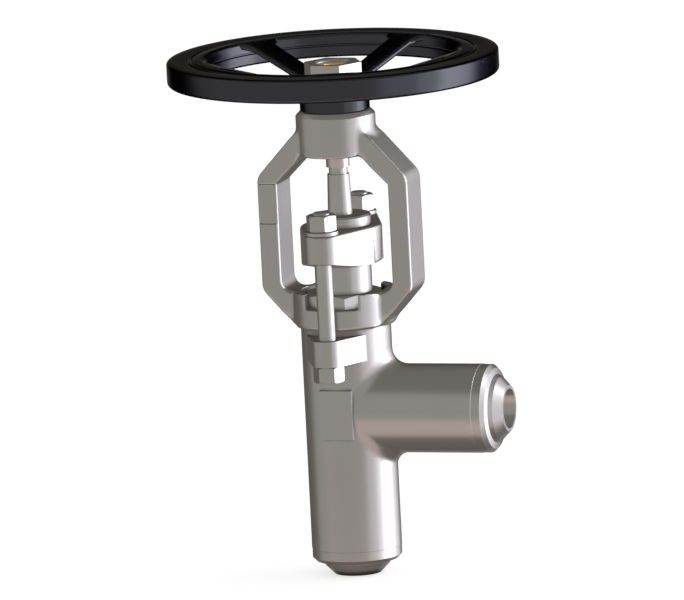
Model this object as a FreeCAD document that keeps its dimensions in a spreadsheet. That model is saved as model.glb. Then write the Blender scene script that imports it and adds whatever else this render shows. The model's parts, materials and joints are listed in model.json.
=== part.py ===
import FreeCAD, Part
import math
import os
import re
import Sketcher

# Continuous blowdown valve, angle pattern, butt-weld ends, outside screw and yoke.
# Frame: origin at the centre of the inlet weld end, +Z up the stem, +X along the outlet leg.
# Rest pose: valve closed.  Lengths in millimetres.

doc = FreeCAD.newDocument("blowdown_valve")
sheet = doc.addObject("Spreadsheet::Sheet", "sizes")

SIZES = (
    # forged body
    ("inlet_leg", 148.0, "inlet weld end to the outlet axis"),
    ("outlet_leg", 148.0, "stem axis to the outlet weld end"),
    ("body_radius", 40.0, "outside of the vertical barrel"),
    ("branch_radius", 39.5, "outside of the outlet barrel"),
    ("branch_blend", 15.0, "fillet where the two barrels meet"),
    ("pipe_bore_radius", 17.7, "bore of both weld ends"),
    ("weld_land_radius", 20.5, "outside of the flat land at the pipe joint"),
    ("weld_nose_radius", 28.0, "outside of the nose behind the weld bevel"),
    ("weld_bevel_length", 7.5, "length of the weld bevel"),
    ("nose_length", 11.0, "weld end to the foot of the nose"),
    ("nose_foot_radius", 30.5, "radius at the foot of the nose"),
    ("shoulder_face_lean", 1.5, "dish of the shoulder face"),
    ("shoulder_chamfer", 3.5, "chamfer on the shoulder corner"),
    ("machined_band", 8.0, "width of the turned band behind the shoulder"),
    ("band_step", 0.3, "how far the turned band lies under the forging"),
    ("barrel_rise", 75.8, "outlet axis to the shoulder under the yoke"),
    ("neck_radius", 38.0, "neck that the yoke screws onto"),
    ("neck_height", 18.2, "shoulder to the top of the neck"),
    ("spigot_bore_radius", 30.0, "screwed bore for the bonnet"),
    ("chamber_radius", 24.0, "valve chamber"),
    ("seat_drop", 36.0, "outlet axis down to the underside of the seat ring"),
    ("plate_pad_width", 30.0, "flat for the name plate"),
    ("plate_pad_height", 44.0, "flat for the name plate"),
    ("plate_pad_stand", 2.2, "how far the flat stands proud of the barrel"),
    # lugs for the gland studs
    ("stud_offset", 54.8, "stem axis to each gland stud"),
    ("stud_hole_radius", 8.5, "clearance hole for a stud"),
    ("lug_radius", 14.0, "round end of a lug"),
    ("lug_flank_angle", 24.8, "splay of a lug's flanks, degrees"),
    ("lug_root_blend", 6.0, "fillet at the root of a lug"),
    ("lug_drop", 5.3, "shoulder down to the top of a lug"),
    ("lug_thickness", 23.2, "height of a lug"),
    # seat and throttling plug
    ("seat_ring_radius", 23.0, "outside of the seat ring"),
    ("seat_ring_height", 12.0, "height of the seat ring"),
    ("seat_bore_radius", 13.0, "throat of the seat"),
    ("relief_radius", 20.0, "widened bore under the seat ring"),
    ("relief_depth", 22.0, "widened bore under the seat ring"),
    ("outlet_relief_reach", 60.0, "stem axis to the end of the widened outlet bore"),
    ("seat_cone_depth", 4.0, "depth of the 45 degree seat cone"),
    ("throttle_length", 22.0, "length of the throttling cone below the seat cone"),
    ("throttle_tip_radius", 5.0, "tip of the throttling cone"),
    ("throttle_gap", 0.5, "throttling cone to the throat"),
    ("plug_radius", 17.5, "outside of the plug"),
    ("plug_body_height", 15.0, "cylindrical part of the plug"),
    ("plug_spigot_radius", 7.0, "stem end inside the plug"),
    ("plug_spigot_length", 12.0, "stem end inside the plug"),
    ("plug_pin_radius", 2.0, "cross pin through plug and stem"),
    # stem
    ("stem_radius", 11.0, "polished part of the stem"),
    ("stem_waist_radius", 9.6, "thin end of the tapered part"),
    ("stem_taper_length", 35.4, "tapered part"),
    ("stem_groove_radius", 8.6, "runout groove under the thread"),
    ("stem_groove_length", 7.6, "runout groove under the thread"),
    ("stem_thread_radius", 10.4, "threaded part"),
    ("stem_end_chamfer", 1.5, "chamfer on the stem's top"),
    ("backseat_collar_radius", 15.0, "collar that seats on the bonnet when open"),
    ("backseat_collar_height", 12.0, "height of that collar below its cone"),
    ("lift", 16.0, "travel of the stem"),
    # bonnet and stuffing box
    ("bonnet_hex", 65.0, "across flats of the bonnet hexagon"),
    ("bonnet_hex_turn", -72.2, "direction of one corner of the hexagon, degrees"),
    ("bonnet_hex_height", 11.3, "height of the hexagon"),
    ("bonnet_hex_chamfer", 5.0, "width of the chamfer on top of the hexagon"),
    ("bonnet_hex_fall", 1.9, "how far that chamfer falls"),
    ("bonnet_neck_radius", 25.2, "outside of the stuffing box"),
    ("bonnet_spigot_length", 54.0, "screwed part below the hexagon"),
    ("gasket_thickness", 4.0, "bonnet gasket"),
    ("gasket_bore_radius", 25.0, "bonnet gasket"),
    ("packing_radius", 17.5, "stuffing box bore"),
    ("packing_depth", 20.0, "stuffing box floor below the top of the neck"),
    ("packing_base_height", 4.0, "metal ring under the packing"),
    ("packing_ring_height", 6.5, "one packing ring"),
    ("packing_ring_count", 6, "number of packing rings"),
    # gland
    ("gland_rise", 71.0, "top of the neck to the top of the gland flange"),
    ("gland_hub_radius", 36.5, "gland flange hub at its top"),
    ("gland_hub_depth", 33.4, "height of the hub"),
    ("gland_hub_draft", 1.4, "how much smaller the hub is at its bottom"),
    ("gland_tip_depth", 20.5, "gland flange at the foot of the sloping underside of its arms"),
    ("gland_end_radius", 16.0, "round end of an arm"),
    ("gland_edge_blend", 3.0, "rounded edges of the gland flange"),
    ("gland_collar_radius", 27.0, "raised collar round the stem"),
    ("gland_collar_height", 9.3, "raised collar round the stem"),
    ("gland_web", 15.0, "gland flange over the bush"),
    ("gland_recess_radius", 25.8, "recess in the underside"),
    ("bush_collar_radius", 24.0, "collar of the gland bush"),
    ("bush_collar_height", 9.0, "collar of the gland bush"),
    ("gland_travel", 3.0, "how far the gland can be drawn down"),
    ("bush_headroom", 2.0, "bush collar above the stuffing box when drawn down"),
    # gland studs and nuts
    ("stud_radius", 8.0, "thread of a gland stud"),
    ("stud_shank_radius", 7.7, "plain shank of a gland stud"),
    ("stud_thread_length", 45.0, "threaded length at each end"),
    ("stud_end_proud", 2.5, "stud above its upper nut"),
    ("stud_nut_hex", 24.0, "across flats of a stud nut"),
    ("stud_nut_height", 14.8, "height of a stud nut"),
    ("lower_nut_turn", 8.7, "how a lower nut happens to be turned, degrees"),
    ("gland_washer_radius", 15.0, "washer under an upper nut"),
    ("gland_washer_height", 3.0, "washer under an upper nut"),
    # yoke
    ("ring_radius", 46.0, "outside of the yoke ring"),
    ("ring_height", 31.6, "height of the yoke ring"),
    ("ring_chamfer", 2.0, "lower edge of the yoke ring"),
    ("wrench_slot_width", 49.0, "slots in the ring for turning the bonnet"),
    ("arm_depth", 42.0, "yoke arms, front to back"),
    ("arm_inner", 51.6, "stem axis to the inside of an arm"),
    ("arm_outer", 69.6, "stem axis to the outside of an arm"),
    ("window_height", 121.1, "ring to the underside of the head"),
    ("window_corner", 25.0, "45 degree upper corner of the window"),
    ("window_blend", 10.0, "fillet at the foot of an arm, inside"),
    ("arm_foot_rise", 33.2, "ring underside to the foot of an arm's outside"),
    ("arm_upper_rise", 133.8, "ring underside to the upper corner of an arm"),
    ("arm_upper_lean", 43.2, "width of the leaning upper part of an arm"),
    ("arm_upper_height", 47.4, "height of the leaning upper part of an arm"),
    ("arm_corner_blend", 14.0, "rounded outer corners"),
    ("arm_edge_blend", 2.5, "rounded long edges"),
    ("head_radius", 35.4, "yoke head"),
    ("head_height", 39.3, "yoke head"),
    ("head_chamfer", 4.0, "chamfer on the head's top"),
    ("stem_clearance", 0.5, "yoke head bore round the stem"),
    ("head_floor", 5.5, "floor of the bearing pocket"),
    ("bearing_pocket_radius", 26.0, "bearing pocket in the head"),
    ("milled_flat_depth", 0.8, "flat milled across the left arm"),
    ("milled_flat_low", 92.5, "ring underside to the lower edge of the flat"),
    ("milled_flat_height", 35.7, "height of the flat"),
    ("lock_screw_radius", 4.0, "set screw that locks the yoke"),
    ("lock_screw_rise", 9.0, "shoulder to the set screw"),
    ("lock_screw_bite", 2.5, "how deep the set screw enters the neck"),
    ("lock_screw_socket", 4.0, "across flats of its hexagon socket"),
    # bearings and stem nut
    ("race_thickness", 2.0, "each of the two washers of a thrust bearing"),
    ("cage_thickness", 1.9, "roller cage of a thrust bearing"),
    ("bearing_bore_radius", 13.0, "bore of the lower thrust bearing"),
    ("nut_flange_radius", 25.0, "flange of the stem nut"),
    ("nut_flange_height", 8.0, "flange of the stem nut"),
    ("nut_sleeve_radius", 17.0, "sleeve of the stem nut"),
    ("wheel_seat_radius", 15.0, "seat for the handwheel and its nut"),
    ("nut_end_depth", 2.2, "stem nut below the top of the wheel nut"),
    ("lock_ring_depth", 0.8, "bearing ring nut below the head's top"),
    ("spanner_notch", 6.0, "notches of the bearing ring nut"),
    ("guide_key_width", 4.0, "key that stops the stem turning"),
    ("guide_key_reach", 9.0, "stem axis to the key's tip"),
    ("guide_key_length", 9.0, "radial length of the key"),
    # handwheel
    ("wheel_gap", 0.5, "yoke head to the handwheel hub"),
    ("hub_radius", 31.0, "handwheel hub"),
    ("hub_height", 25.7, "handwheel hub"),
    ("wheel_radius", 147.0, "outside of the rim"),
    ("rim_rise", 28.2, "hub underside to the rim underside"),
    ("rim_height", 21.4, "height of the rim"),
    ("rim_inner_radius", 112.5, "inside of the rim"),
    ("rim_edge_blend", 3.0, "rounded outer edges of the rim"),
    ("rim_band_width", 13.5, "inner band of the rim, seen from above"),
    ("rim_bead_fall", 1.6, "how far the bead falls towards the middle"),
    ("rim_step", 1.3, "step between the bead and the inner band"),
    ("rim_ledge", 1.2, "ledge inside the rim under the spokes"),
    ("spoke_thickness", 13.0, "height of a spoke"),
    ("spoke_top_drop", 4.9, "rim top down to a spoke where they meet"),
    ("spoke_count", 5, "number of spokes"),
    ("spoke_hub_width", 23.0, "spoke at the hub"),
    ("spoke_rim_width", 26.0, "spoke at the rim"),
    ("spoke_rim_blend", 9.0, "fillet in a window's corners at the rim"),
    ("spoke_hub_blend", 4.0, "fillet in a window's corners at the hub"),
    ("wheel_nut_hex", 46.0, "across flats of the wheel nut"),
    ("wheel_nut_height", 14.2, "height of the wheel nut"),
    ("wheel_nut_countersink", 1.2, "countersink at the top of the wheel nut's bore"),
    ("wheel_washer_radius", 22.0, "washer under the wheel nut"),
    ("wheel_washer_height", 2.0, "washer under the wheel nut"),
    ("wheel_key_width", 6.0, "key between stem nut and handwheel"),
    ("wheel_key_height", 5.5, "height of that key"),
    ("wheel_key_length", 20.0, "length of that key"),
    # clearances
    ("fit_gap", 0.05, "between pieces that fit and stay together"),
    ("thread_gap", 0.1, "screwed joints, drawn without thread"),
    ("running_gap", 0.1, "turning or sliding fits"),
    ("free_gap", 0.3, "between pieces that pass without touching"),
)

for row, (alias, number, note) in enumerate(SIZES, 1):
    sheet.set(f"A{row}", note)
    sheet.set(f"B{row}", str(number))
    sheet.setAlias(f"B{row}", alias)
doc.recompute()

ALIASES = {alias for alias, number, note in SIZES}

# Heights up the stem axis, each worked out from the sheet.
SHOULDER = "(inlet_leg + barrel_rise)"
NECK_TOP = f"({SHOULDER} + neck_height)"
LUG_TOP = f"({SHOULDER} - lug_drop)"
LUG_BOTTOM = f"({LUG_TOP} - lug_thickness)"
SEAT_BOTTOM = "(inlet_leg - seat_drop)"
SEAT_TOP = f"({SEAT_BOTTOM} + seat_ring_height)"
SEAT_CONE_FOOT = f"({SEAT_TOP} - seat_cone_depth)"
BONNET_BOTTOM = f"({NECK_TOP} - bonnet_spigot_length)"
GASKET_BOTTOM = f"({BONNET_BOTTOM} - gasket_thickness)"
PACKING_FLOOR = f"({NECK_TOP} - packing_depth)"
PACKING_START = f"({PACKING_FLOOR} + packing_base_height)"
PACKING_TOP = f"({PACKING_START} + packing_ring_height * packing_ring_count)"
GLAND_TOP = f"({NECK_TOP} + gland_rise)"
COLLAR_TOP = f"({GLAND_TOP} + gland_collar_height)"
BUSH_TOP = f"({GLAND_TOP} - gland_web)"
BUSH_COLLAR = f"({BUSH_TOP} - bush_collar_height)"
STUFFING_BOX_TOP = f"({BUSH_COLLAR} - gland_travel - bush_headroom)"
GLAND_BOTTOM = f"({GLAND_TOP} - gland_hub_depth)"
UPPER_NUT_BOTTOM = f"({GLAND_TOP} + gland_washer_height)"
LOWER_NUT_BOTTOM = f"({LUG_BOTTOM} - stud_nut_height)"
RING_TOP = f"({SHOULDER} + ring_height)"
HEAD_BOTTOM = f"({RING_TOP} + window_height)"
HEAD_TOP = f"({HEAD_BOTTOM} + head_height)"
POCKET_FLOOR = f"({HEAD_BOTTOM} + head_floor)"
BEARING_HEIGHT = "(2 * race_thickness + cage_thickness)"
NUT_FLANGE_BOTTOM = f"({POCKET_FLOOR} + {BEARING_HEIGHT} + running_gap)"
NUT_FLANGE_TOP = f"({NUT_FLANGE_BOTTOM} + nut_flange_height)"
UPPER_BEARING = f"({NUT_FLANGE_TOP} + running_gap)"
LOCK_RING_BOTTOM = f"({UPPER_BEARING} + {BEARING_HEIGHT})"
HUB_BOTTOM = f"({HEAD_TOP} + wheel_gap)"
HUB_TOP = f"({HUB_BOTTOM} + hub_height)"
WHEEL_NUT_BOTTOM = f"({HUB_TOP} + wheel_washer_height)"
WHEEL_NUT_TOP = f"({WHEEL_NUT_BOTTOM} + wheel_nut_height)"
STEM_NUT_TOP = f"({WHEEL_NUT_TOP} - nut_end_depth)"
RIM_BOTTOM = f"({HUB_BOTTOM} + rim_rise)"
RIM_TOP = f"({RIM_BOTTOM} + rim_height)"
GROOVE_START = f"({COLLAR_TOP} + stem_taper_length)"
THREAD_START = f"({GROOVE_START} + stem_groove_length)"


def linked(formula):
    """The formula with every alias pointing at the sheet."""
    return re.sub(r"[a-z_]+", lambda word: f"sizes.{word[0]}" if word[0] in ALIASES else word[0], formula)


def number(formula):
    """What the formula gives now."""
    result = sheet.evalExpression(linked(str(formula)))
    return float(getattr(result, "Value", result))


def bind(obj, **formulas):
    """Bind properties to the sheet; place_x, place_y and place_z stand for the position."""
    for prop, formula in formulas.items():
        path = f"Placement.Base.{prop[-1]}" if prop.startswith("place_") else prop
        obj.setExpression(path, linked(str(formula)))
    return obj


def feature(kind, name, **formulas):
    return bind(doc.addObject(kind, name), **formulas)


def cylinder(name, radius, height, **place):
    return feature("Part::Cylinder", name, Radius=radius, Height=height, **place)


def cross_cylinder(name, radius, height, direction, **place):
    """A cylinder whose length runs along a horizontal direction."""
    rod = cylinder(name, radius, height)
    turn = FreeCAD.Rotation(FreeCAD.Vector(0, 0, 1), direction)
    rod.Placement = FreeCAD.Placement(FreeCAD.Vector(), turn)
    return bind(rod, **place)


def block(name, length, width, height, **place):
    return feature("Part::Box", name, Length=length, Width=width, Height=height, **place)


def hexagon(name, across_flats, height, turn="0", **place):
    prism = feature("Part::Prism", name, Circumradius=f"{across_flats} / 2 / cos(30deg)", Height=height)
    axis = FreeCAD.Vector(0, 0, 1)
    prism.Placement = FreeCAD.Placement(FreeCAD.Vector(), FreeCAD.Rotation(axis, number(turn)))
    return bind(prism, **place)


def cut(name, base, tool):
    result = doc.addObject("Part::Cut", name)
    result.Base, result.Tool = base, tool
    return result


def common(name, base, tool):
    result = doc.addObject("Part::Common", name)
    result.Base, result.Tool = base, tool
    return result


def fused(name, *shapes):
    result = doc.addObject("Part::MultiFuse", name)
    result.Shapes = list(shapes)
    result.Refine = True
    return result


def group(name, *links):
    result = doc.addObject("Part::Compound", name)
    result.Links = list(links)
    return result


def outline(body, role, corners, name):
    """A closed sketch on one of the body's own planes; every corner is a pair of formulas.

    A third entry "arc" joins a corner to the next one along a circle about the origin.
    """
    plane = next(item for item in body.Origin.OriginFeatures if item.Role == role)
    sketch = body.newObject("Sketcher::SketchObject", name)
    sketch.AttachmentSupport = [(plane, "")]
    sketch.MapMode = "FlatFace"
    points = [FreeCAD.Vector(number(corner[0]), number(corner[1]), 0) for corner in corners]
    count = len(points)
    joins = []
    for index, corner in enumerate(corners):
        start, end = points[index], points[(index + 1) % count]
        if len(corner) < 3:
            sketch.addGeometry(Part.LineSegment(start, end), False)
            joins.append((1, 2))
            continue
        begin, finish = math.atan2(start.y, start.x), math.atan2(end.y, end.x)
        circle = Part.Circle(FreeCAD.Vector(), FreeCAD.Vector(0, 0, 1), start.Length)
        turns_left = (finish - begin) % (2 * math.pi) < math.pi
        arc = (begin, finish) if turns_left else (finish, begin)
        sketch.addGeometry(Part.ArcOfCircle(circle, *arc), False)
        joins.append((1, 2) if turns_left else (2, 1))
        sketch.addConstraint(Sketcher.Constraint("Coincident", index, 3, -1, 1))
    for index in range(count):
        after = (index + 1) % count
        ends = (index, joins[index][1], after, joins[after][0])
        sketch.addConstraint(Sketcher.Constraint("Coincident", *ends))
    for index, corner in enumerate(corners):
        ends_an_arc = len(corners[index - 1]) == 3
        for axis, formula in (("DistanceX", corner[0]), ("DistanceY", corner[1])):
            if ends_an_arc and axis == "DistanceX":
                continue
            place = (-1, 1, index, joins[index][0], number(formula))
            which = sketch.addConstraint(Sketcher.Constraint(axis, *place))
            sketch.setExpression(f"Constraints[{which}]", linked(str(formula)))
    return sketch


def new_body(name):
    return doc.addObject("PartDesign::Body", name)


def revolved(name, corners, **place):
    """A turned piece: the corners are (radius, height) pairs of its half section."""
    body = new_body(name)
    sketch = outline(body, "XZ_Plane", corners, f"{name}_section")
    turning = body.newObject("PartDesign::Revolution", f"{name}_turning")
    turning.Profile = sketch
    turning.ReferenceAxis = (sketch, ["V_Axis"])
    turning.Angle = 360
    body.Tip = turning
    return bind(body, **place)


def ring(name, inner, outer, low, high):
    return revolved(name, ((inner, low), (outer, low), (outer, high), (inner, high)))


def padded(name, role, corners, length, midplane=False, **place):
    """A flat piece of constant thickness."""
    body = new_body(name)
    pad = body.newObject("PartDesign::Pad", f"{name}_pad")
    pad.Profile = outline(body, role, corners, f"{name}_outline")
    bind(pad, Length=length)
    pad.Midplane = midplane
    body.Tip = pad
    return bind(body, **place)


def near(value, target, slack=0.05):
    return abs(value - target) < slack


def picked(shape, wanted):
    """Numbers, from 1, of the edges that the test accepts."""
    return [index for index, edge in enumerate(shape.Edges, 1) if wanted(edge)]


def rounded(name, base, blend, wanted):
    """A Part fillet on the edges that the test accepts."""
    doc.recompute()
    edges = picked(base.Shape, wanted)
    if not edges:
        raise RuntimeError(f"{name}: no edge to round")
    result = doc.addObject("Part::Fillet", name)
    result.Base = base
    radius = number(blend)
    result.Edges = [(edge, radius, radius) for edge in edges]
    return result


def body_fillet(body, name, blend, wanted):
    """A fillet feature inside a body."""
    doc.recompute()
    base = body.Tip
    edges = picked(base.Shape, wanted)
    if not edges:
        raise RuntimeError(f"{name}: no edge to round")
    fillet = body.newObject("PartDesign::Fillet", name)
    fillet.Base = (base, [f"Edge{edge}" for edge in edges])
    bind(fillet, Radius=blend)
    body.Tip = fillet
    return fillet


PIECES = {}


def piece(name, obj):
    """Register a finished sub-part under its node name."""
    obj.Label = name
    PIECES[name] = obj
    return obj


def weld_end(far, radius):
    """Corners of one weld end, from the land up to the full barrel radius."""
    shoulder = "(nose_length + shoulder_face_lean + shoulder_chamfer)"
    band_radius = f"{radius} - band_step"
    return (
        ("0", "0"),
        ("weld_land_radius", "0"),
        ("weld_nose_radius", "weld_bevel_length"),
        ("nose_foot_radius", "nose_length"),
        (f"{band_radius} - shoulder_chamfer", "nose_length + shoulder_face_lean"),
        (band_radius, shoulder),
        (band_radius, f"{shoulder} + machined_band"),
        (radius, f"{shoulder} + machined_band + band_step"),
        (radius, far),
    )


def lug(name, side):
    """A lug with flanks that splay from the round stud boss into the barrel."""
    foot = "(stud_offset * sin(lug_flank_angle * 1deg) + lug_radius)"
    cosine, sine = "cos(lug_flank_angle * 1deg)", "sin(lug_flank_angle * 1deg)"
    inner = (f"{foot} * {cosine}", f"{side} * {foot} * {sine}")
    outer = (f"lug_radius * {cosine}", f"{side} * (stud_offset + lug_radius * {sine})")
    corners = [inner, outer, (f"-{outer[0]}", outer[1]), (f"-{inner[0]}", inner[1])]
    if side > 0:
        corners.reverse()
    flanks = padded(f"{name}_flanks", "XY_Plane", corners, "lug_thickness", place_z=LUG_BOTTOM)
    boss = cylinder(f"{name}_boss", "lug_radius", "lug_thickness",
                    place_y=f"{side} * stud_offset", place_z=LUG_BOTTOM)
    return flanks, boss


def stud_holes(name, low, height):
    """Clearance holes for both gland studs."""
    holes = []
    for end, side in (("front", -1), ("back", 1)):
        place = {"place_y": f"{side} * stud_offset", "place_z": low}
        holes.append(cylinder(f"{name}_{end}", "stud_hole_radius", height, **place))
    return fused(name, *holes)


def make_valve_body():
    barrel = revolved("barrel", weld_end(SHOULDER, "body_radius")
                      + (("neck_radius", SHOULDER), ("neck_radius", NECK_TOP), ("0", NECK_TOP)))
    branch = revolved("branch", weld_end("outlet_leg", "branch_radius") + (("0", "outlet_leg"),),
                      place_x="outlet_leg", place_z="inlet_leg")
    branch.Placement = FreeCAD.Placement(FreeCAD.Vector(number("outlet_leg"), 0, number("inlet_leg")),
                                         FreeCAD.Rotation(FreeCAD.Vector(0, 0, 1), FreeCAD.Vector(-1, 0, 0)))
    forging = fused("crossed_barrels", barrel, branch)

    def crossing(edge):
        box = edge.BoundBox
        return (type(edge.Curve).__name__ == "BSplineCurve" and box.XMin > 0
                and box.ZMax < number(SHOULDER) and box.ZLength > number("branch_radius"))

    blended = rounded("blended_barrels", forging, "branch_blend", crossing)
    front_flanks, front_boss = lug("front_lug", -1)
    back_flanks, back_boss = lug("back_lug", 1)
    lugged = fused("lugged_barrels", blended, front_flanks, front_boss, back_flanks, back_boss)

    def lug_root(edge):
        box = edge.BoundBox
        return (near(box.ZLength, number("lug_thickness")) and box.XLength < 0.01
                and near(math.hypot(box.XMin, box.YMin), number("body_radius")))

    rooted = rounded("rooted_lugs", lugged, "lug_root_blend", lug_root)
    pad = block("plate_pad", "plate_pad_width", "body_radius / 2", "plate_pad_height",
                place_x="-plate_pad_width / 2", place_y="-body_radius - plate_pad_stand",
                place_z="inlet_leg - plate_pad_height / 2")
    solid = fused("body_blank", rooted, pad)
    bores = fused(
        "body_bores",
        cylinder("inlet_bore", "pipe_bore_radius", SEAT_BOTTOM),
        cylinder("seat_relief", "relief_radius", "relief_depth", place_z=f"{SEAT_BOTTOM} - relief_depth"),
        cylinder("seat_pocket", "seat_ring_radius", f"{SEAT_TOP} - {SEAT_BOTTOM}", place_z=SEAT_BOTTOM),
        cylinder("chamber", "chamber_radius", f"{NECK_TOP} - {SEAT_TOP}", place_z=SEAT_TOP),
        cylinder("bonnet_bore", "spigot_bore_radius", f"{NECK_TOP} - {GASKET_BOTTOM}", place_z=GASKET_BOTTOM),
        cross_cylinder("outlet_bore", "pipe_bore_radius", "outlet_leg", FreeCAD.Vector(1, 0, 0),
                       place_z="inlet_leg"),
        cross_cylinder("outlet_relief", "relief_radius", "outlet_relief_reach", FreeCAD.Vector(1, 0, 0),
                       place_z="inlet_leg"),
        cross_cylinder("lock_screw_seat", "lock_screw_radius + thread_gap", "neck_radius",
                       FreeCAD.Vector(0, 1, 0),
                       place_y="neck_radius - lock_screw_bite - thread_gap",
                       place_z=f"{SHOULDER} + lock_screw_rise"),
        stud_holes("lug_holes", LUG_BOTTOM, "lug_thickness"),
    )
    piece("valve_body", cut("body_forging", solid, bores))


def make_seat():
    radius = "seat_ring_radius - fit_gap"
    piece("seat_ring", revolved("seat", (
        ("seat_bore_radius", SEAT_BOTTOM), (radius, SEAT_BOTTOM), (radius, SEAT_TOP),
        ("seat_bore_radius + seat_cone_depth", SEAT_TOP), ("seat_bore_radius", SEAT_CONE_FOOT))))


# The plug's seat cone lies parallel to the seat, a free gap above it.
CONE_FOOT_RADIUS = "(seat_bore_radius - throttle_gap)"
PLUG_CONE_FOOT = f"({SEAT_CONE_FOOT} - throttle_gap + free_gap * sqrt(2))"
PLUG_CONE_TOP = f"({PLUG_CONE_FOOT} + plug_radius - {CONE_FOOT_RADIUS})"
PLUG_TOP = f"({PLUG_CONE_TOP} + plug_body_height)"
SPIGOT_BOTTOM = f"({PLUG_TOP} - plug_spigot_length)"
PIN_HEIGHT = f"({PLUG_TOP} - plug_spigot_length / 2)"
BACKSEAT_CONE = f"({BONNET_BOTTOM} - lift)"


def make_plug():
    turned = revolved("plug_turned", (
        ("0", f"{PLUG_CONE_FOOT} - throttle_length"),
        ("throttle_tip_radius", f"{PLUG_CONE_FOOT} - throttle_length"),
        (CONE_FOOT_RADIUS, PLUG_CONE_FOOT),
        ("plug_radius", PLUG_CONE_TOP), ("plug_radius", PLUG_TOP),
        ("plug_spigot_radius + fit_gap", PLUG_TOP),
        ("plug_spigot_radius + fit_gap", SPIGOT_BOTTOM), ("0", SPIGOT_BOTTOM)))
    hole = cross_cylinder("plug_pin_hole", "plug_pin_radius + fit_gap", "3 * plug_radius",
                          FreeCAD.Vector(1, 0, 0), place_x="-1.5 * plug_radius", place_z=PIN_HEIGHT)
    piece("plug", cut("drilled_plug", turned, hole))
    piece("plug_pin", cross_cylinder("pin", "plug_pin_radius", "2 * plug_radius - 2", FreeCAD.Vector(1, 0, 0),
                                     place_x="1 - plug_radius", place_z=PIN_HEIGHT))


def make_stem():
    cone_top = f"{BACKSEAT_CONE} + backseat_collar_radius - stem_radius"
    turned = revolved("stem_turned", (
        ("0", SPIGOT_BOTTOM), ("plug_spigot_radius", SPIGOT_BOTTOM), ("plug_spigot_radius", PLUG_TOP),
        ("stem_radius", PLUG_TOP), ("stem_radius", f"{BACKSEAT_CONE} - backseat_collar_height"),
        ("backseat_collar_radius", f"{BACKSEAT_CONE} - backseat_collar_height"),
        ("backseat_collar_radius", BACKSEAT_CONE), ("stem_radius", cone_top),
        ("stem_radius", COLLAR_TOP), ("stem_waist_radius", GROOVE_START),
        ("stem_groove_radius", GROOVE_START), ("stem_groove_radius", THREAD_START),
        ("stem_thread_radius", THREAD_START),
        ("stem_thread_radius", f"{WHEEL_NUT_BOTTOM} - stem_end_chamfer"),
        ("stem_thread_radius - stem_end_chamfer", WHEEL_NUT_BOTTOM), ("0", WHEEL_NUT_BOTTOM)))
    pin_hole = cross_cylinder("stem_pin_hole", "plug_pin_radius + fit_gap", "3 * plug_radius",
                              FreeCAD.Vector(1, 0, 0), place_x="-1.5 * plug_radius", place_z=PIN_HEIGHT)
    keyway = block("stem_keyway", "guide_key_width + 2 * free_gap", "stem_thread_radius",
                   f"{POCKET_FLOOR} - {THREAD_START} + head_floor",
                   place_x="-guide_key_width / 2 - free_gap", place_y="guide_key_reach - free_gap",
                   place_z=THREAD_START)
    piece("stem", cut("machined_stem", turned, fused("stem_cuts", pin_hole, keyway)))


def make_bonnet():
    hexagon_blank = hexagon("bonnet_hexagon", "bonnet_hex", "bonnet_hex_height", "bonnet_hex_turn",
                            place_z=NECK_TOP)
    corner = "(bonnet_hex / 2 / cos(30deg))"
    hex_top = f"({NECK_TOP} + bonnet_hex_height)"
    turned_top = revolved("bonnet_hex_top", (
        ("0", NECK_TOP), (corner, NECK_TOP), (corner, f"{hex_top} - bonnet_hex_fall"),
        (f"{corner} - bonnet_hex_chamfer", hex_top), ("0", hex_top)))
    spigot_radius = "spigot_bore_radius - thread_gap"
    turned = revolved("bonnet_turned", (
        ("0", BONNET_BOTTOM), (f"{spigot_radius} - 1", BONNET_BOTTOM),
        (spigot_radius, f"{BONNET_BOTTOM} + 1"),
        (spigot_radius, NECK_TOP), ("bonnet_neck_radius", NECK_TOP),
        ("bonnet_neck_radius", f"{STUFFING_BOX_TOP} - 1"), ("bonnet_neck_radius - 1", STUFFING_BOX_TOP),
        ("0", STUFFING_BOX_TOP)))
    stem_bore = "(stem_radius + free_gap)"
    seat_mouth = "(backseat_collar_radius + free_gap * sqrt(2))"
    bores = fused(
        "bonnet_bores",
        cylinder("bonnet_stem_bore", stem_bore, "bonnet_spigot_length", place_z=BONNET_BOTTOM),
        cylinder("stuffing_box", "packing_radius", f"{STUFFING_BOX_TOP} - {PACKING_FLOOR}",
                 place_z=PACKING_FLOOR),
        revolved("backseat", (("0", BONNET_BOTTOM), (seat_mouth, BONNET_BOTTOM),
                              ("0", f"{BONNET_BOTTOM} + {seat_mouth}"))))
    blank = fused("bonnet_blank", common("chamfered_hexagon", hexagon_blank, turned_top), turned)
    piece("bonnet", cut("bonnet_machined", blank, bores))
    piece("bonnet_gasket", ring("gasket", "gasket_bore_radius", "spigot_bore_radius - fit_gap",
                                GASKET_BOTTOM, BONNET_BOTTOM))


def make_packing():
    inner, outer = "stem_radius + free_gap", "packing_radius - running_gap"
    piece("packing_base_ring", ring("base_ring", inner, outer, PACKING_FLOOR, PACKING_START))
    rings = []
    for index in range(round(number("packing_ring_count"))):
        low = f"{PACKING_START} + {index} * packing_ring_height"
        rings.append(ring(f"packing_ring_{index + 1}", inner, outer, low, f"{low} + packing_ring_height"))
    piece("packing_rings", group("packing_set", *rings))


def make_gland_bush():
    inner = "stem_radius + free_gap"
    nose = "packing_radius - 2 * running_gap"
    piece("gland_bush", revolved("bush", (
        (inner, PACKING_TOP), (nose, PACKING_TOP), (nose, BUSH_COLLAR), ("bush_collar_radius", BUSH_COLLAR),
        ("bush_collar_radius", BUSH_TOP), (inner, BUSH_TOP))))


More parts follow.
